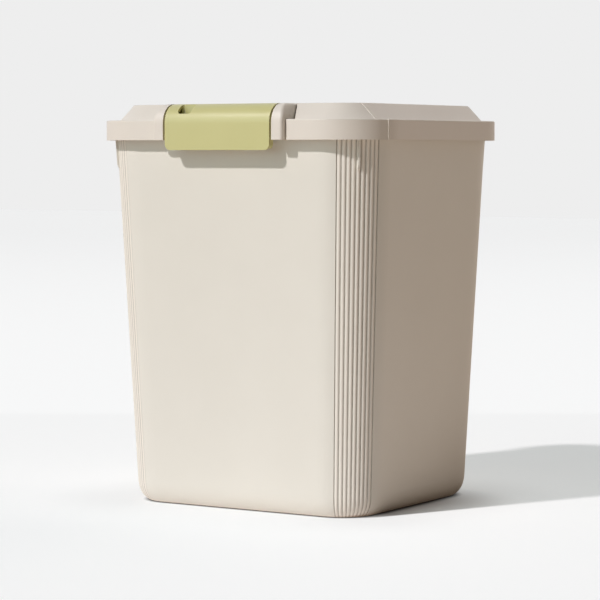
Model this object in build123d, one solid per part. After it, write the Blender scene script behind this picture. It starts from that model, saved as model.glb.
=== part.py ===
from build123d import *
from math import cos, hypot, pi, radians, sin, sqrt
import os

# Storage box for dry food: tapered tub, rear-hinged lid, front lever latch.
# Millimetres. Z is up, the front with the latch faces -Y, and the origin is
# the centre of the tub's resting face.

# Tub
tub_top_width = 285.0
tub_top_depth = 255.2
tub_height = 344.6
taper_per_side = 15.7
top_corner_radius = 46.0
base_corner_radius = 40.5
wall = 2.4
floor_thickness = 3.0
foot_inset = 12.0
foot_height = 18.0
flange_drop = 5.6
flange_thickness = 2.4
flange_side_gap = 1.0
flange_round = 0.8
overlap = 1.0

# Flutes on the tub's corners
flutes_per_corner = 9
flute_start_angle = 20.0
flute_step_angle = 0.5
flute_depth = 0.9

# Stacking fin under the flange at each corner
fin_length = 32.5
fin_height_out = 2.3
fin_thickness = 1.8
fin_nose = 3.5

# Lid
lid_side_overhang = 7.5
lid_front_overhang = 10.4
lid_corner_extra = 8.0
band_height = 18.0
ledge_width = 12.4
dome_height = 14.1
dome_run = 13.05
lid_wall = 2.2
lid_edge_round = 1.2
side_pad_proud = 0.7
side_pad_end = 40.0

# Seal between the lid and the tub's lip
seal_width = 4.4
seal_height = 3.3
seal_round = 1.0
seal_squash_gap = 0.3
channel_wall = 1.4
channel_gap = 0.2
channel_depth = 2.7
spigot_depth = 4.2

# Latch bracket and the pocket that holds it
bracket_width = 137.0
bracket_proud = 5.4
bracket_curve_radius = 17.0
bracket_back_inset = 27.5
bracket_flank_round = 3.0
bracket_flank_bend = 18.0
cheek_width = 11.15
cheek_clearance = 2.1
front_cut_clearance = 0.8
sheet_gap = 0.3
pocket_clearance = 0.5
pocket_side_gap = 2.1
pocket_lean_run = 5.4
peg_radius = 2.4
peg_side_inset = 23.5
peg_front_inset = 23.0
peg_clearance = 0.1
peg_head_radius = 3.4
peg_tip_radius = 1.8
peg_head_height = 2.0
peg_head_gap = 0.2

# Latch lever
latch_drop = 8.9
latch_corner_round = 5.5
latch_wall = 2.4
latch_pivot_drop = 6.5
nose_clearance = 1.8
latch_rib_thickness = 2.0
latch_rib_count = 5
latch_rib_foot = 8.0
latch_rib_gap = 1.6
latch_end_gap = 0.6
hook_end_inset = 15.0
hook_height = 4.6
hook_drop = 0.9
hook_rise = 1.5
hook_tip_height = 1.2
eye_width = 14.7
eye_length = 10.6
eye_corner = 2.6
eye_rib_gap = 0.5
eye_front_wall = 2.1

# Catch on the flange for the latch's hook
catch_out = 3.8
catch_gap = 0.35
catch_root = 2.0
catch_bevel = 1.6
catch_below = 0.6
catch_root_below = 2.4
catch_margin = 4.0

# Pins
latch_pin_radius = 2.0
latch_pin_inset = 0.6
latch_pin_end_gap = 0.2
latch_pin_end_wall = 3.0
hinge_pin_radius = 2.5
pin_clearance = 0.05
pin_chamfer = 0.4

# Rear hinge
hinge_spacing = 160.0
hinge_axis_behind = 5.0
hinge_axis_drop = 5.4
barrel_radius = 5.2
knuckle_width = 22.0
ear_thickness = 5.0
ear_top_drop = 1.0
hinge_side_gap = 0.4
ear_rib_length = 24.0
knuckle_top_drop = 5.0
root_depth = 1.2

# Places that follow from the sizes above
taper = taper_per_side / tub_height
flange_z = tub_height - flange_drop
seal_bottom = tub_height + seal_squash_gap
ledge_underside = seal_bottom + seal_height
ledge_z = ledge_underside + lid_wall
lid_bottom_z = ledge_z - band_height
lid_top_z = ledge_z + dome_height
lid_height = lid_top_z - lid_bottom_z
lid_width = tub_top_width + 2 * lid_side_overhang
lid_depth = tub_top_depth + 2 * lid_front_overhang
lid_corner_radius = top_corner_radius + lid_corner_extra
lid_front = lid_depth / 2
latch_front = lid_front + bracket_proud
flange_inset = lid_wall + flange_side_gap
flange_front = lid_front - flange_inset
flange_top = flange_z + flange_thickness
seal_outset = (seal_width - wall) / 2
curve_y = -(latch_front - bracket_curve_radius)
curve_z = lid_top_z - bracket_curve_radius
pivot_z = lid_top_z - latch_pivot_drop
nose_radius = latch_pivot_drop
bracket_back = -(lid_front - bracket_back_inset)
cheek_inner = bracket_width / 2 - cheek_width
latch_width = 2 * (cheek_inner - cheek_clearance)
latch_bottom_z = lid_bottom_z - latch_drop
rib_pitch = (latch_width - latch_rib_thickness) / (latch_rib_count - 1)
hook_half = latch_width / 2 - hook_end_inset
sheet_back = -(lid_front - lid_wall + sheet_gap)
pocket_base_half = bracket_width / 2 + pocket_side_gap
pocket_lean = pocket_lean_run / dome_height
hinge_y = lid_depth / 2 + hinge_axis_behind
hinge_z = lid_bottom_z - hinge_axis_drop
pin_bore = pin_clearance + hinge_pin_radius
latch_bore = pin_clearance + latch_pin_radius


# Half sizes and corner radius of the tub's outside at a height
def tub_size(z):
    share = z / tub_height
    half_width = tub_top_width / 2 - taper * (tub_height - z)
    half_depth = tub_top_depth / 2 - taper * (tub_height - z)
    radius = base_corner_radius + (top_corner_radius - base_corner_radius) * share
    return half_width, half_depth, radius


# Plain rounded rectangle at a height
def plate_outline(width, depth, radius, z):
    return Pos(0, 0, z) * RectangleRounded(width, depth, radius)


# Outline of the tub's lip at a height, grown by an outset
def lip_outline(outset, z):
    return plate_outline(tub_top_width + 2 * outset, tub_top_depth + 2 * outset,
                         top_corner_radius + outset, z)


# Outline of the lid's band at a height, drawn in by an inset
def band_outline(inset, z):
    return plate_outline(lid_width - 2 * inset, lid_depth - 2 * inset,
                         lid_corner_radius - inset, z)


# Tub outline with a row of convex flutes on each corner, drawn in by an inset
def fluted_outline(z, inset=0.0):
    half_width, half_depth, radius = tub_size(z)
    half_width -= inset
    half_depth -= inset
    radius -= inset
    valley = radius - flute_depth * radius / top_corner_radius
    start_angle = radians(flute_start_angle)
    first = start_angle + radians(flute_step_angle)
    pitch = (pi / 2 - 2 * first) / flutes_per_corner
    edges = []
    start = None
    last = None
    for corner in range(4):
        turn = corner * pi / 2
        x_sign = 1 if corner in (0, 3) else -1
        y_sign = 1 if corner in (0, 1) else -1
        x_mid = x_sign * (half_width - radius)
        y_mid = y_sign * (half_depth - radius)

        def point(angle, reach):
            a = turn + angle
            return Vector(x_mid + reach * cos(a), y_mid + reach * sin(a), z)

        entry = point(0, radius)
        if last is None:
            start = entry
        else:
            edges.append(Line(last, entry))
        step_in = point(start_angle, radius)
        half_way = point(start_angle / 2, radius)
        edges.append(ThreePointArc(entry, half_way, step_in))
        edges.append(Line(step_in, point(first, valley)))
        for flute in range(flutes_per_corner):
            a = first + pitch * flute
            crest = point(a + pitch / 2, radius)
            edges.append(ThreePointArc(point(a, valley), crest, point(a + pitch, valley)))
        step_out = point(pi / 2 - start_angle, radius)
        edges.append(Line(point(pi / 2 - first, valley), step_out))
        half_way = point((pi - start_angle) / 2, radius)
        last = point(pi / 2, radius)
        edges.append(ThreePointArc(step_out, half_way, last))
    edges.append(Line(last, start))
    return make_face(edges)


# Outer skin of the tub: a rounded foot below, straight fluted walls above
def tub_skin():
    foot = []
    for step in range(5):
        angle = step * pi / 8
        inset = foot_inset * (1 - sin(angle))
        height = foot_height * (1 - cos(angle))
        foot.append(fluted_outline(height, inset))
    walls = [fluted_outline(foot_height), fluted_outline(flange_z)]
    return loft(foot) + loft(walls, ruled=True)


# Plain ruled tub shape between two heights, offset inwards
def tub_core(low, high, inset):
    outlines = []
    for z in (low, high):
        half_width, half_depth, radius = tub_size(z)
        width = 2 * (half_width - inset)
        depth = 2 * (half_depth - inset)
        outlines.append(plate_outline(width, depth, radius - inset, z))
    return loft(outlines, ruled=True)


# One upright fin on the middle of a corner, under the flange
def corner_fin():
    half_width, half_depth, radius = tub_size(flange_z)
    reach = radius + fin_height_out
    low = flange_z - fin_length
    lean = taper * fin_length * sqrt(2)
    outline = Polyline(
        (radius - wall, flange_z + overlap),
        (reach, flange_z + overlap),
        (reach - lean, low + fin_nose),
        (radius - lean - wall / 2, low - fin_nose),
        (radius - lean - wall, low - fin_nose),
        close=True,
    )
    blade = extrude(Plane.XZ * make_face(outline), fin_thickness / 2, both=True)
    return Pos(half_width - radius, half_depth - radius) * Rot(0, 0, 45) * blade


# Ears on the tub's back that carry one hinge pin, with the bore through both
def hinge_ears():
    high = lid_bottom_z - ear_top_drop
    low = hinge_z - ear_rib_length
    root_high = tub_size(high)[1] - root_depth
    root_low = tub_size(low)[1] - root_depth
    web = Polyline(
        (root_high, high),
        (hinge_y - barrel_radius, high),
        (hinge_y, hinge_z),
        (hinge_y, hinge_z - barrel_radius),
        (root_low, low),
        close=True,
    )
    profile = make_face(web) + Pos(hinge_y, hinge_z) * Circle(barrel_radius)
    profile -= Pos(hinge_y, hinge_z) * Circle(pin_bore)
    ear = extrude(Plane.YZ * profile, ear_thickness)
    offset = knuckle_width / 2 + hinge_side_gap
    return Pos(offset, 0, 0) * ear + Pos(-offset - ear_thickness, 0, 0) * ear


# Lip at the front that the latch's hook stands under
def latch_catch():
    front = -(flange_front + catch_out)
    root = -(flange_front - catch_root)
    outline = Polyline(
        (root, flange_top),
        (front + catch_bevel, flange_top),
        (front, flange_top - catch_bevel),
        (front, flange_z - catch_below),
        (root, flange_z - catch_root_below),
        close=True,
    )
    return extrude(Plane.YZ * make_face(outline), hook_half + catch_margin, both=True)


def make_tub():
    tub = tub_skin()
    flange = extrude(band_outline(flange_inset, flange_z), flange_thickness)
    flange = fillet(flange.faces().sort_by(Axis.Z)[-1].outer_wire().edges(), flange_round)
    tub += flange
    tub += tub_core(flange_z, tub_height, 0)
    fin = corner_fin()
    fins = [fin, mirror(fin, Plane.YZ)]
    tub += fins + [mirror(one, Plane.XZ) for one in fins]
    tub += latch_catch()
    ears = hinge_ears()
    for side in (-1, 1):
        tub += Pos(side * hinge_spacing / 2, 0, 0) * ears
    cavity = tub_core(floor_thickness, tub_height + overlap, wall)
    bottom_edges = cavity.edges().group_by(Axis.Z)[0]
    tub -= fillet(bottom_edges, foot_inset)
    return tub


# Solid outer form of the lid for a width: straight band, ledge and sloped shoulder
def lid_form(width):
    band = extrude(plate_outline(width, lid_depth, lid_corner_radius, lid_bottom_z), band_height)
    band = fillet(band.faces().sort_by(Axis.Z)[-1].edges(), lid_edge_round)
    rise_inset = ledge_width + dome_run
    high = plate_outline(width - 2 * rise_inset, lid_depth - 2 * rise_inset,
                         lid_corner_radius - rise_inset, lid_top_z)
    foot = plate_outline(width - 2 * ledge_width, lid_depth - 2 * ledge_width,
                         lid_corner_radius - ledge_width, ledge_z)
    dome = loft([foot, high], ruled=True)
    dome = fillet(dome.faces().sort_by(Axis.Z)[-1].edges(), lid_edge_round)
    return band + extrude(foot, -overlap) + dome


# Space under the dome, less the block around the latch pocket
def dome_hollow():
    slope = dome_run / dome_height
    skin = lid_wall * sqrt(1 + slope * slope)
    outlines = []
    for z in (ledge_underside, lid_top_z - lid_wall):
        inset = ledge_width + (z - ledge_z) * slope + skin
        outlines.append(band_outline(inset, z))
    block = pocket_shape(lid_wall)
    return loft(outlines, ruled=True) - block


# Pocket for the latch bracket, grown by a wall; its sides lean inwards to the top
def pocket_shape(grow=0.0):
    low = ledge_z - grow
    high = lid_top_z + overlap
    middle = pocket_base_half + grow * sqrt(1 + pocket_lean * pocket_lean)
    base = middle + pocket_lean * grow
    top = middle - pocket_lean * (high - ledge_z)
    outline = Polyline((-base, low), (base, low), (top, high), (-top, high), close=True)
    back = bracket_back + pocket_clearance + grow
    solid = extrude(Plane.XZ * make_face(outline), lid_front + overlap + back)
    return Pos(0, back, 0) * solid


# Rib that hangs from the lid's ledge over the tub's lip, with its outer face at an outset
def hanging_ring(outset, drop):
    low = ledge_underside - drop
    outline = lip_outline(outset, low) - lip_outline(outset - channel_wall, low)
    return extrude(outline, ledge_z - low)


# Knuckle that hangs from the lid's back band round the hinge pin
def hinge_knuckle():
    band_back = lid_depth / 2
    root = band_back - lid_wall / 2
    web = Polyline(
        (root, ledge_z - knuckle_top_drop),
        (band_back, ledge_z - knuckle_top_drop),
        (hinge_y + barrel_radius, hinge_z),
        (hinge_y - barrel_radius, hinge_z),
        (root, lid_bottom_z),
        close=True,
    )
    profile = make_face(web) + Pos(hinge_y, hinge_z) * Circle(barrel_radius)
    profile -= Pos(hinge_y, hinge_z) * Circle(pin_bore)
    return extrude(Plane.YZ * profile, knuckle_width / 2, both=True)


# Places of the bracket's snap pegs in the pocket floor
def peg_places():
    x = bracket_width / 2 - peg_side_inset
    return [(side * x, -(lid_front - peg_front_inset)) for side in (-1, 1)]


def make_lid():
    lid = lid_form(lid_width)
    pads = lid_form(lid_width + 2 * side_pad_proud)
    slab = Box(2 * lid_width, lid_depth - 2 * side_pad_end, 3 * lid_height)
    lid += pads & (Pos(0, 0, lid_bottom_z) * slab)
    lid -= extrude(band_outline(lid_wall, lid_bottom_z), ledge_underside - lid_bottom_z)
    lid -= dome_hollow()
    lid -= pocket_shape()
    cut_width = bracket_width + 2 * front_cut_clearance
    front_cut = Box(cut_width, 2 * lid_wall, band_height + 2 * overlap)
    lid -= Pos(0, -lid_front, lid_bottom_z + band_height / 2) * front_cut
    lid += hanging_ring(seal_outset + channel_gap + channel_wall, channel_depth)
    lid += hanging_ring(seal_outset - seal_width - channel_gap, spigot_depth)
    knuckle = hinge_knuckle()
    for side in (-1, 1):
        lid += Pos(side * hinge_spacing / 2, 0, 0) * knuckle
    for x, y in peg_places():
        lid -= Pos(x, y, ledge_z) * Cylinder(peg_radius + peg_clearance, 4 * lid_wall)
    return lid


def make_seal():
    outer = lip_outline(seal_outset, seal_bottom)
    inner = lip_outline(seal_outset - seal_width, seal_bottom)
    ring = extrude(outer - inner, seal_height)
    return fillet(ring.faces().sort_by(Axis.Z)[0].edges(), seal_round)


# Side view of the bend from the upright front into the top, at a depth under its surface
def front_curve(depth=0.0):
    radius = bracket_curve_radius - depth
    half = radius * sqrt(0.5)
    middle = (curve_y - half, curve_z + half)
    return ThreePointArc((curve_y - radius, curve_z), middle, (curve_y, curve_z + radius))


# Half width of the bracket at a height: upright below, following the pocket's lean above
def bracket_half_width(z):
    pocket_half = pocket_base_half - pocket_lean * (z - ledge_z)
    return min(bracket_width / 2, pocket_half - 2 * pocket_clearance)


# Front view of the bracket as one block, through its whole depth
def bracket_front_view():
    spare = pocket_side_gap - 2 * pocket_clearance
    meet = ledge_z + spare / pocket_lean
    low = lid_bottom_z - overlap
    high = lid_top_z + overlap
    right = [(bracket_half_width(z), z) for z in (low, meet, high)]
    left = [(-x, z) for x, z in reversed(right)]
    outline = make_face(Polyline(*right, *left, close=True))
    bends = outline.vertices().filter_by(lambda v: abs(v.Y - meet) < 0.01)
    outline = fillet(bends, bracket_flank_bend)
    return extrude(Plane.XZ * outline, 2 * lid_depth, both=True)


def make_bracket():
    arc = front_curve()
    corner = Polyline(
        arc @ 1,
        (bracket_back, lid_top_z),
        (bracket_back, ledge_z),
        (sheet_back, ledge_z),
        (sheet_back, lid_bottom_z),
        (-latch_front, lid_bottom_z),
        arc @ 0,
    )
    profile = make_face([arc, corner])
    bracket = extrude(Plane.YZ * profile, bracket_width, both=True) & bracket_front_view()
    flanks = []
    for edge in bracket.edges():
        middle = edge @ 0.5
        on_side = abs(middle.X) > bracket_width / 2 - 2 * bracket_flank_round
        on_top = middle.Z > lid_top_z - 0.01
        on_front = middle.Y < -latch_front + 0.01
        reach = hypot(middle.Y - curve_y, middle.Z - curve_z)
        on_curve = middle.Z > curve_z and abs(reach - bracket_curve_radius) < 0.01
        if on_side and (on_top or on_front or on_curve):
            flanks.append(edge)
    bracket = fillet(flanks, bracket_flank_round)
    swing = nose_radius + nose_clearance
    bay = Pos(0, curve_y, pivot_z) * Rot(0, 90, 0) * Cylinder(swing, 2 * cheek_inner)
    front = Box(2 * cheek_inner, lid_depth, 2 * lid_height)
    below = Box(2 * cheek_inner, 2 * swing, pivot_z - ledge_z)
    bracket -= [
        bay,
        Pos(0, curve_y - lid_depth / 2, pivot_z) * front,
        Pos(0, curve_y, (pivot_z + ledge_z) / 2) * below,
    ]
    hollow_depth = latch_front + sheet_back - 2 * lid_wall
    hollow = Box(cheek_width - 2 * lid_wall, hollow_depth, 2 * (band_height - lid_wall))
    for side in (-1, 1):
        x = side * (cheek_inner + cheek_width / 2)
        y = -latch_front + lid_wall + hollow_depth / 2
        bracket -= Pos(x, y, lid_bottom_z) * hollow
    bore_start = -bracket_width / 2 - overlap
    bore_end = bracket_width / 2 - latch_pin_end_wall
    bore = Cylinder(latch_bore, bore_end - bore_start)
    bracket -= Pos((bore_start + bore_end) / 2, curve_y, pivot_z) * Rot(0, 90, 0) * bore
    head_top = ledge_underside - peg_head_gap
    length = ledge_z + overlap - head_top
    head = Cone(peg_tip_radius, peg_head_radius, peg_head_height)
    for x, y in peg_places():
        bracket += Pos(x, y, head_top + length / 2) * Cylinder(peg_radius, length)
        bracket += Pos(x, y, head_top - peg_head_height / 2) * head
    return bracket


# Side view of a rib that joins the latch's nose to its front sheet, from its two lower corners
def latch_rib_view(foot, heel, back):
    arc = front_curve(latch_wall / 2)
    low = pivot_z - nose_radius
    root = -latch_front + latch_wall / 2
    web = Polyline(
        (root, foot),
        (back, heel),
        (back, low),
        (curve_y, low),
        (curve_y, pivot_z + nose_radius),
        (root, lid_top_z),
        close=True,
    )
    under = Polyline(arc @ 1, (curve_y, latch_bottom_z), (root, latch_bottom_z), arc @ 0)
    return make_face(web) & make_face([arc, under])


# Side view of the hook that stands under the catch
def latch_hook_view():
    root = -latch_front + latch_wall / 2
    tip = -(flange_front + catch_out + catch_gap)
    top = flange_z - hook_drop
    hook = Polyline(
        (root, top + hook_rise),
        (tip, top),
        (tip, top - hook_tip_height),
        (root, top - hook_height),
        close=True,
    )
    return make_face(hook)


# Front view of the latch as one block, with its two rounded lower corners
def latch_front_view():
    height = lid_top_z + overlap - latch_bottom_z
    outline = Pos(0, latch_bottom_z + height / 2) * Rectangle(latch_width, height)
    outline = fillet(outline.vertices().group_by(Axis.Y)[0], latch_corner_round)
    return extrude(Plane.XZ * outline, 2 * lid_depth, both=True)


def make_latch():
    arc = front_curve()
    inner_arc = front_curve(latch_wall)
    front = Polyline(inner_arc @ 0, (-latch_front + latch_wall, latch_bottom_z),
                     (-latch_front, latch_bottom_z), arc @ 0)
    sheet = make_face([arc, Line(arc @ 1, inner_arc @ 1), inner_arc, front])
    profile = sheet + Pos(curve_y, pivot_z) * Circle(nose_radius)
    latch = extrude(Plane.YZ * profile, latch_width / 2, both=True)
    inner = latch_rib_view(lid_bottom_z + latch_rib_foot, ledge_z - latch_rib_foot,
                           sheet_back - latch_rib_gap)
    end = latch_rib_view(latch_bottom_z, latch_bottom_z, sheet_back - latch_end_gap)
    for index in range(latch_rib_count):
        view = end if index in (0, latch_rib_count - 1) else inner
        rib = extrude(Plane.YZ * view, latch_rib_thickness / 2, both=True)
        x = rib_pitch * (index - (latch_rib_count - 1) / 2)
        latch += Pos(x, 0, 0) * rib
    latch &= latch_front_view()
    latch += extrude(Plane.YZ * latch_hook_view(), hook_half, both=True)
    second_rib = latch_width / 2 - rib_pitch
    eye_x = -(second_rib + eye_rib_gap + eye_width / 2)
    eye_y = -latch_front + eye_front_wall + eye_length / 2
    eye = Pos(eye_x, eye_y, ledge_z) * RectangleRounded(eye_width, eye_length, eye_corner)
    latch -= extrude(eye, lid_height)
    bore = Cylinder(latch_bore, latch_width + 2 * overlap)
    return latch - Pos(0, curve_y, pivot_z) * Rot(0, 90, 0) * bore


def make_latch_pin():
    left = -bracket_width / 2 + latch_pin_inset
    right = bracket_width / 2 - latch_pin_end_wall - latch_pin_end_gap
    pin = chamfer(Cylinder(latch_pin_radius, right - left).edges(), pin_chamfer)
    return Pos((left + right) / 2, curve_y, pivot_z) * Rot(0, 90, 0) * pin


def make_hinge_pin(side):
    length = knuckle_width + 2 * (hinge_side_gap + ear_thickness)
    pin = chamfer(Cylinder(hinge_pin_radius, length).edges(), pin_chamfer)
    return Pos(side * hinge_spacing / 2, hinge_y, hinge_z) * Rot(0, 90, 0) * pin


os.makedirs("parts", exist_ok=True)
nodes = {
    "tub": make_tub(),
    "lid": make_lid(),
    "lid_seal": make_seal(),
    "latch_bracket": make_bracket(),
    "latch": make_latch(),
    "latch_pin": make_latch_pin(),
    "hinge_pin_left": make_hinge_pin(-1),
    "hinge_pin_right": make_hinge_pin(1),
}
for name, shape in nodes.items():
    export_step(shape, f"parts/{name}.step")
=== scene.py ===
from math import cos, radians, sin
import bpy
import numpy as np
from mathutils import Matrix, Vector

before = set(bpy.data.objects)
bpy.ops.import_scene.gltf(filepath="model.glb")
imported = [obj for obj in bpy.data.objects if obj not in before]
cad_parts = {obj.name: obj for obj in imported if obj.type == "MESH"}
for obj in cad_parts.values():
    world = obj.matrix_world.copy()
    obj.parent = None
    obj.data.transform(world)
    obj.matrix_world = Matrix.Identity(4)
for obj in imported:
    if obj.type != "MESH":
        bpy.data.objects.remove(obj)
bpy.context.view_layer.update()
print("frame loaded:", ", ".join(sorted(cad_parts)))


class Wire:  # one shader value; arithmetic on it adds Math nodes
    def __init__(self, sheet, socket):
        self.sheet = sheet
        self.socket = socket

    def math(self, operation, first, second):
        return self.sheet.math(operation, first, second)

    def __add__(self, other):
        return self.math("ADD", self, other)

    def __radd__(self, other):
        return self.math("ADD", other, self)

    def __sub__(self, other):
        return self.math("SUBTRACT", self, other)

    def __rsub__(self, other):
        return self.math("SUBTRACT", other, self)

    def __mul__(self, other):
        return self.math("MULTIPLY", self, other)

    def __rmul__(self, other):
        return self.math("MULTIPLY", other, self)


class Sheet:  # one node tree, with one method that adds any node
    def __init__(self, owner):
        owner.use_nodes = True
        self.tree = owner.node_tree
        self.tree.nodes.clear()

    def add(self, kind, settings=None, inputs=None, output=0):
        made = self.tree.nodes.new(kind)
        for key, value in (settings or {}).items():
            if key == "stops":
                self.setStops(made.color_ramp, value)
            else:
                setattr(made, key, value)
        for key, value in (inputs or {}).items():
            if isinstance(value, Wire):
                self.tree.links.new(value.socket, made.inputs[key])
            else:
                made.inputs[key].default_value = value
        return Wire(self, made.outputs[output]) if made.outputs else None

    def setStops(self, ramp, stops):  # stops are pairs of place and grey level
        while len(ramp.elements) < len(stops):
            ramp.elements.new(0.5)
        for element, (place, grey) in zip(ramp.elements, stops):
            element.position = place
            element.color = (grey, grey, grey, 1)

    def math(self, operation, first, second=0.0):
        return self.add("ShaderNodeMath", {"operation": operation}, {0: first, 1: second})

    def vectorMath(self, operation, first, second=(0, 0, 0), output=0):
        return self.add("ShaderNodeVectorMath", {"operation": operation}, {0: first, 1: second}, output)

    def split(self, vector):  # the three parts of a vector
        parts = self.add("ShaderNodeSeparateXYZ", {}, {0: vector})
        return [Wire(self, output) for output in parts.socket.node.outputs]

    def noise(self, place, scale, detail):
        return self.add("ShaderNodeTexNoise", {}, {"Vector": place, "Scale": scale, "Detail": detail})

    def smoothStep(self, value, start, end, low=0.0, high=1.0):
        settings = {"interpolation_type": "SMOOTHSTEP"}
        return self.add("ShaderNodeMapRange", settings, {0: value, 1: start, 2: end, 3: low, 4: high})

    def blendColours(self, factor, first, second):  # the first colour at factor 0, the second at 1
        pair = [colour if isinstance(colour, Wire) else (*colour, 1) for colour in (first, second)]
        return self.add("ShaderNodeMix", {"data_type": "RGBA"}, {0: factor, 6: pair[0], 7: pair[1]}, 2)


baseCorner = (0.0863, 0.0714)  # the middle of the tub's rounded corner at the floor, along X and Y


# Where a flute's valleys and crests lie on the tub's skin, for painted shade in the valleys
# and a painted highlight on the crests. The corner's middle and radius grow straight with
# height, the foot draws the skin in along an ellipse, and the flutes share the angle round
# the corner's middle evenly. Nothing ends the painted shade and highlight at the top, so the
# lip above the flutes has them too
def paintedFluteShading(sheet, place, look):
    x, y, z = sheet.split(sheet.vectorMath("ABSOLUTE", place))
    across = x - (look["middle"][0] + z * look["middleGrowth"])
    along = y - (look["middle"][1] + z * look["middleGrowth"])
    below = sheet.math("MAXIMUM", 1 - z * (1 / look["footHeight"]), 0.0)
    arc = sheet.math("SQRT", 1 - below * below)
    skin = look["radius"] + z * look["radiusGrowth"] - (1 - arc) * look["footInset"]
    offSkin = sheet.math("SQRT", across * across + along * along) - skin
    onSkin = sheet.smoothStep(offSkin, *look["fadeInside"]) * sheet.smoothStep(offSkin, *look["fadeOutside"])
    angle = sheet.math("ARCTAN2", along, across)
    halfSpan = 45 - look["start"]
    phase = (angle - radians(look["start"])) * (look["count"] / radians(2 * halfSpan))
    fold = sheet.math("PINGPONG", phase, 0.5)  # 0 in a valley, 0.5 on a crest
    aside = sheet.math("ABSOLUTE", angle - radians(45))
    fadeStart, fadeEnd = (radians(halfSpan + extra) for extra in look["endFade"])
    marked = onSkin * sheet.smoothStep(aside, fadeStart, fadeEnd)
    # painted shade in the valleys and a painted highlight on the crests
    valleyShade = marked * sheet.smoothStep(fold, look["valleyWidth"], 0.0)
    crest = marked * sheet.smoothStep(fold, look["crestStart"], 0.5)
    return valleyShade, crest


# Moulded plastic: slow tone drift down the wall, fine grain, and faint rub marks. Flutes get
# painted shade in their valleys and a painted highlight on their crests
def mouldedPlastic(name, look, flutes=None):
    material = bpy.data.materials.new(name)
    sheet = Sheet(material)
    place = sheet.add("ShaderNodeTexCoord", output=3)
    drawn = sheet.add("ShaderNodeMapping", {}, {0: place, 3: (1, 1, look["driftStretch"])})
    drift = sheet.noise(drawn, look["driftScale"], look["driftDetail"])
    cloud = sheet.noise(place, look["cloudScale"], look["cloudDetail"])
    mixed = drift * look["driftShare"] + cloud * (1 - look["driftShare"])
    tone = sheet.add("ShaderNodeMapRange", {}, {0: mixed, 1: look["toneStart"], 2: look["toneEnd"]})
    colour = sheet.blendColours(tone, look["dark"], look["light"])
    if flutes:
        valleyShade, crest = paintedFluteShading(sheet, place, flutes)
        # painted highlight on the flute crests, then painted shade in the flute valleys
        colour = sheet.blendColours(crest * flutes["crestShare"], colour, flutes["crestColour"])
        colour = sheet.blendColours(valleyShade * flutes["valleyShadeShare"], colour, flutes["valleyShadeColour"])
    grain = sheet.noise(place, look["grainScale"], look["grainDetail"])
    rubs = sheet.add("ShaderNodeMapping", {}, {0: place, 2: look["rubTurn"], 3: look["rubStretch"]})
    rubNoise = sheet.noise(rubs, look["rubScale"], look["rubDetail"])
    rubMask = sheet.add("ShaderNodeValToRGB", {"stops": look["rubStops"]}, {0: rubNoise})
    roughness = look["roughness"] + (cloud - 0.5) * look["roughnessDrift"] + rubMask * look["rubRoughness"]
    height = grain * look["grainShare"] + cloud * (1 - look["grainShare"])
    bump = sheet.add("ShaderNodeBump", {}, {
        "Strength": look["bump"], "Distance": look["bumpDepth"], "Height": height})
    shader = sheet.add("ShaderNodeBsdfPrincipled", {}, {
        "Base Color": colour, "Roughness": roughness, "Normal": bump, "IOR": look["ior"],
        "Specular IOR Level": look["specular"]})
    sheet.add("ShaderNodeOutputMaterial", {}, {"Surface": shader})
    return material


mouldLook = {  # what all the moulded finishes share
    "driftShare": 0.6, "toneStart": 0.35, "toneEnd": 0.65, "grainShare": 0.7, "ior": 1.49,
    "driftDetail": 2.0, "cloudDetail": 4.0, "grainDetail": 3.0, "rubDetail": 5.0,
    "rubTurn": (0.3, 0.2, 0.5), "rubStretch": (9, 60, 260), "rubScale": 3.0,
    "rubStops": [(0.60, 0.0), (0.72, 1.0)],
}
creamLook = {
    **mouldLook, "light": (0.770, 0.722, 0.645), "dark": (0.750, 0.702, 0.625),
    "driftScale": 7.0, "driftStretch": 0.35, "cloudScale": 24.0,
    "grainScale": 900.0, "bump": 0.12, "bumpDepth": 0.0004,
    "roughness": 0.42, "roughnessDrift": 0.10, "rubRoughness": 0.06, "specular": 0.5,
}
tubLook = {**creamLook, "light": (0.778, 0.758, 0.680), "dark": (0.758, 0.738, 0.660)}
fluteLook = {
    "middle": baseCorner, "middleGrowth": 0.0296, "radius": 0.0405, "radiusGrowth": 0.01596,
    "footHeight": 0.018, "footInset": 0.012, "start": 20.5, "count": 9,
    "endFade": (0.9, 0.1),  # degrees past the last flute
    "fadeInside": (-0.0019, -0.0013), "fadeOutside": (0.0009, 0.0004),  # distance from the skin
    # painted shade in the valleys and a painted highlight on the crests
    "valleyWidth": 0.24, "valleyShadeShare": 0.8, "valleyShadeColour": (0.46, 0.42, 0.365),
    "crestStart": 0.08, "crestShare": 0.9, "crestColour": (0.92, 0.87, 0.78),
}
greenLook = {
    **mouldLook, "light": (0.565, 0.540, 0.225), "dark": (0.545, 0.520, 0.210),
    "driftScale": 14.0, "driftStretch": 0.6, "cloudScale": 40.0,
    "grainScale": 900.0, "bump": 0.10, "bumpDepth": 0.0003,
    "roughness": 0.30, "roughnessDrift": 0.08, "rubRoughness": 0.08, "specular": 1.0,
}
sealLook = {
    **mouldLook, "light": (0.56, 0.56, 0.54), "dark": (0.50, 0.50, 0.48),
    "driftScale": 20.0, "driftStretch": 1.0, "cloudScale": 60.0,
    "grainScale": 1500.0, "bump": 0.2, "bumpDepth": 0.0003,
    "roughness": 0.62, "roughnessDrift": 0.10, "rubRoughness": 0.05, "specular": 0.4,
}


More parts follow.
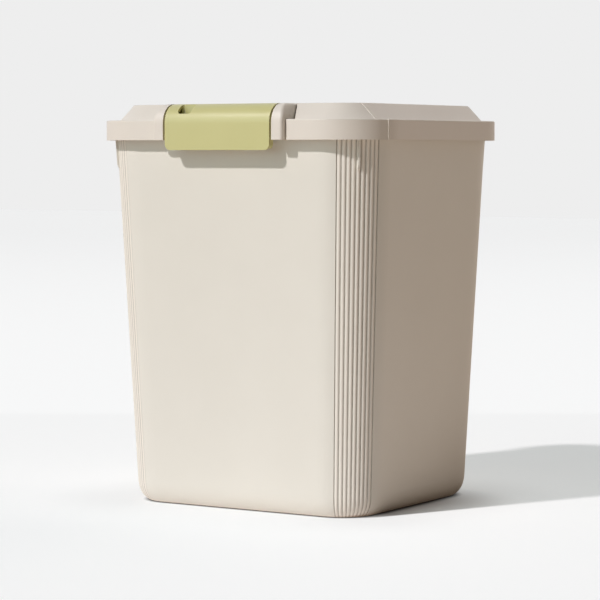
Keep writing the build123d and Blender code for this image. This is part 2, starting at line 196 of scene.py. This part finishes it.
# Drawn steel for the pins: fine rings along X, a little darker in the grooves
def drawnSteel(look):
    material = bpy.data.materials.new("drawnSteel")
    sheet = Sheet(material)
    place = sheet.add("ShaderNodeTexCoord", output=3)
    rings = sheet.add("ShaderNodeMapping", {}, {0: place, 3: look["ringStretch"]})
    lines = sheet.noise(rings, look["ringScale"], look["ringDetail"])
    colour = sheet.blendColours(lines, look["groove"], look["crest"])
    roughness = look["roughness"] + lines * look["roughnessDrift"]
    bump = sheet.add("ShaderNodeBump", {}, {
        "Strength": look["bump"], "Distance": look["bumpDepth"], "Height": lines})
    shader = sheet.add("ShaderNodeBsdfPrincipled", {}, {
        "Base Color": colour, "Metallic": 1.0, "Roughness": roughness, "Normal": bump})
    sheet.add("ShaderNodeOutputMaterial", {}, {"Surface": shader})
    return material


steelLook = {
    "groove": (0.42, 0.42, 0.43), "crest": (0.62, 0.62, 0.62),
    "ringStretch": (900, 30, 30), "ringScale": 1.0, "ringDetail": 4.0,
    "roughness": 0.25, "roughnessDrift": 0.15, "bump": 0.2, "bumpDepth": 0.0002,
}

creamPlastic = mouldedPlastic("creamPlastic", creamLook)
flutedPlastic = mouldedPlastic("flutedPlastic", tubLook, fluteLook)
greenPlastic = mouldedPlastic("greenPlastic", greenLook)
sealRubber = mouldedPlastic("sealRubber", sealLook)
pinSteel = drawnSteel(steelLook)
print("materials made")

dress = {
    "tub": flutedPlastic, "lid": creamPlastic, "latch_bracket": creamPlastic, "latch": greenPlastic,
    "lid_seal": sealRubber, "latch_pin": pinSteel, "hinge_pin_left": pinSteel, "hinge_pin_right": pinSteel,
}
for nodeName, material in dress.items():
    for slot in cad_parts[nodeName].material_slots:
        slot.material = material
print("nodes dressed")


floorLook = {
    "half": 9.0, "baseMiddle": baseCorner, "baseRound": fluteLook["radius"] - fluteLook["footInset"],
    "tone": (0.62, 0.62, 0.62), "glow": (0.480, 0.502, 0.504),
    # the line behind the box, and the glow from there to the far end
    "seamDepth": 0.735, "seamSoftness": 0.012,
    "seamGlow": (0.515, 0.537, 0.539), "endGlow": (0.448, 0.470, 0.472), "endDepth": 8.0,
    # the side away from the lamp, the painted contact shadow, and painted shade near the box and on that
    # side
    "leeWay": (0.387, 0.922), "leeStart": -0.05, "leeEnd": 0.0,
    "contactShadowWidth": 0.010, "leeContactShadowWidth": 0.0127, "nearShadeLeast": 0.80, "nearShadeWidth": 0.12,
    "shadeShift": (-0.003, -0.056), "shadeWidth": 0.100, "shadeLeast": 0.034,
    "shadeEdge": 0.153, "shadeWay": (0.902, -0.433), "shadeSoftness": 0.006,
    # what the floor throws back on the box: near, on the side away from the lamp, and far out, with painted
    # shade close to the box on that side
    "throwTone": (0.88, 0.87, 0.87), "throwGlow": (0.12, 0.07, 0.05),
    "leeTone": (0.90, 0.86, 0.80), "leeGlow": (0.14, 0.08, 0.05), "farTone": (0.72, 0.56, 0.40),
    "poolStart": 0.45, "poolEnd": 1.1, "throwShadeWidth": 0.10, "throwShadeLeast": 0.25,
}
viewLook = {
    "azimuth": 32.0, "elevation": 3.41, "distance": 2.3094, "lens": 148.62, "sensor": 36.0,
    "target": (-0.00189, -0.00118, 0.18405),
}
black = (0, 0, 0)


# Distance on the floor from the box's resting outline, moved by a shift: the length of
# what lies outside the straight part of the outline, less its corner radius
def outlineDistance(sheet, place, look, shift=(0, 0)):
    moved = sheet.vectorMath("SUBTRACT", place, (*shift, 0))
    folded = sheet.vectorMath("ABSOLUTE", moved)
    beyond = sheet.vectorMath("SUBTRACT", folded, (*look["baseMiddle"], 0))
    outside = sheet.vectorMath("MAXIMUM", beyond)
    return sheet.vectorMath("LENGTH", outside, output=1) - look["baseRound"]


# How far a place lies along a direction on the floor
def reach(sheet, place, way):
    return sheet.vectorMath("DOT_PRODUCT", place, (*way, 0), 1)


# The floor as the camera sees it: its glow steps to the backdrop's at one line behind the box,
# and it has a painted black contact shadow where the box meets it, painted shade near the box,
# and a painted shadow patch on the side away from the lamp
def seenFloor(sheet, place, look, distance, lee, azimuth):
    depth = reach(sheet, place, (-sin(radians(azimuth)), cos(radians(azimuth))))
    seamStart, seamEnd = (look["seamDepth"] + side * look["seamSoftness"] for side in (-1, 1))
    seam = sheet.smoothStep(depth, seamStart, seamEnd)
    backwards = sheet.smoothStep(depth, look["seamDepth"], look["endDepth"])
    # painted contact shadow where the box meets the floor, and painted shade near the box
    width = look["contactShadowWidth"] + lee * (look["leeContactShadowWidth"] - look["contactShadowWidth"])
    contactShadow = sheet.smoothStep(distance, 0.0, width)
    nearShade = sheet.smoothStep(distance, 0.0, look["nearShadeWidth"], look["nearShadeLeast"])
    # painted shadow patch on the side away from the lamp
    edge = reach(sheet, place, look["shadeWay"]) - look["shadeEdge"]
    shaded = lee * sheet.smoothStep(edge, 0.0, -look["shadeSoftness"])
    fromShade = outlineDistance(sheet, place, look, look["shadeShift"])
    shade = sheet.smoothStep(fromShade, 0.0, look["shadeWidth"], look["shadeLeast"])
    behind = sheet.blendColours(backwards, look["seamGlow"], look["endGlow"])
    front = sheet.blendColours(contactShadow * nearShade * (1 - shaded * (1 - shade)), black, look["glow"])
    return sheet.add("ShaderNodeBsdfPrincipled", {}, {
        "Base Color": sheet.blendColours(contactShadow, black, look["tone"]),
        "Roughness": 1.0, "Specular IOR Level": 0.0,
        "Emission Color": sheet.blendColours(seam, front, behind), "Emission Strength": 1.0})


# The floor as it throws light back on the box: warmer on the side away from the lamp and
# far out, and with painted shade close to the box on that side, so it throws less light there
def thrownFloor(sheet, look, distance, lee):
    pool = sheet.smoothStep(distance, look["poolStart"], look["poolEnd"])
    # painted shade close to the box on the side away from the lamp: the floor throws less light there
    closeShade = sheet.smoothStep(distance, 0.0, look["throwShadeWidth"], look["throwShadeLeast"])
    kept = 1 - lee * (1 - closeShade)
    nearTone = sheet.blendColours(lee, look["throwTone"], look["leeTone"])
    nearGlow = sheet.blendColours(lee, look["throwGlow"], look["leeGlow"])
    tone = sheet.blendColours(pool, nearTone, look["farTone"])
    glow = sheet.blendColours(pool, nearGlow, black)
    return sheet.add("ShaderNodeBsdfPrincipled", {}, {
        "Base Color": sheet.blendColours(kept, black, tone),
        "Roughness": 1.0, "Specular IOR Level": 0.0,
        "Emission Color": sheet.blendColours(kept, black, glow), "Emission Strength": 1.0})


# Floor: a flat square about the origin, with one shader for the camera and one for all else
def makeFloor(look, azimuth):
    half = look["half"]
    spots = np.array([[-half, -half, 0], [half, -half, 0], [half, half, 0], [-half, half, 0]])
    mesh = bpy.data.meshes.new("floor")
    mesh.from_pydata(spots.tolist(), [], [(0, 1, 2, 3)])
    floor = bpy.data.objects.new("floor", mesh)
    bpy.context.scene.collection.objects.link(floor)
    material = bpy.data.materials.new("paleFloor")
    sheet = Sheet(material)
    place = sheet.add("ShaderNodeTexCoord", output=3)
    distance = outlineDistance(sheet, place, look)
    lee = sheet.smoothStep(reach(sheet, place, look["leeWay"]), look["leeStart"], look["leeEnd"])
    seen = seenFloor(sheet, place, look, distance, lee, azimuth)
    thrown = thrownFloor(sheet, look, distance, lee)
    cameraRay = sheet.add("ShaderNodeLightPath")
    both = sheet.add("ShaderNodeMixShader", {}, {0: cameraRay, 1: thrown, 2: seen})
    sheet.add("ShaderNodeOutputMaterial", {}, {"Surface": both})
    mesh.materials.append(material)


makeFloor(floorLook, viewLook["azimuth"])
print("floor laid")


lampLook = {
    "key": {"travel": (0.42, 1.0, -0.92), "strength": 2.44, "angle": 3.0, "colour": (1.0, 0.955, 0.975)},
    "back": {"travel": (-0.25, -0.80, -0.55), "strength": 0.77, "angle": 60.0, "colour": (1.0, 0.88, 0.80)},
    "soft": {"travel": (0.30, 1.0, -0.12), "strength": 0.90, "angle": 60.0, "colour": (0.65, 0.835, 0.84)},
}
worldLook = {"tone": (0.855, 0.855, 0.855)}


# A sun that shines along its direction of travel
def addSun(name, look):
    light = bpy.data.lights.new(name, "SUN")
    light.energy = look["strength"]
    light.angle = radians(look["angle"])
    light.color = look["colour"]
    lamp = bpy.data.objects.new(name, light)
    lamp.rotation_euler = Vector(look["travel"]).to_track_quat("-Z", "Y").to_euler()
    bpy.context.scene.collection.objects.link(lamp)


# World: the backdrop's tone for the camera and in gloss and glass, and black for all else
def makeWorld(look):
    world = bpy.data.worlds.new("studio")
    bpy.context.scene.world = world
    sheet = Sheet(world)
    ray = sheet.add("ShaderNodeLightPath")
    glossy = Wire(sheet, ray.socket.node.outputs["Is Glossy Ray"])
    through = Wire(sheet, ray.socket.node.outputs["Is Transmission Ray"])
    settings = {"operation": "ADD", "use_clamp": True}
    shown = sheet.add("ShaderNodeMath", settings, {0: ray + glossy, 1: through})
    back = sheet.add("ShaderNodeBackground", {}, {
        "Color": sheet.blendColours(shown, black, look["tone"]), "Strength": 1.0})
    sheet.add("ShaderNodeOutputWorld", {}, {"Surface": back})


for lampName, lamp in lampLook.items():
    addSun(lampName, lamp)
makeWorld(worldLook)
print("lights set")


# The camera looks along the azimuth and elevation at the target
def makeCamera(look):
    turn, lift = radians(look["azimuth"]), radians(look["elevation"])
    back = Vector((sin(turn) * cos(lift), -cos(turn) * cos(lift), sin(lift)))
    data = bpy.data.cameras.new("camera")
    data.lens = look["lens"]
    data.sensor_width = look["sensor"]
    camera = bpy.data.objects.new("camera", data)
    camera.location = Vector(look["target"]) + back * look["distance"]
    camera.rotation_euler = (-back).to_track_quat("-Z", "Y").to_euler()
    bpy.context.scene.collection.objects.link(camera)
    bpy.context.scene.camera = camera


makeCamera(viewLook)
bpy.context.scene.view_settings.view_transform = "Standard"
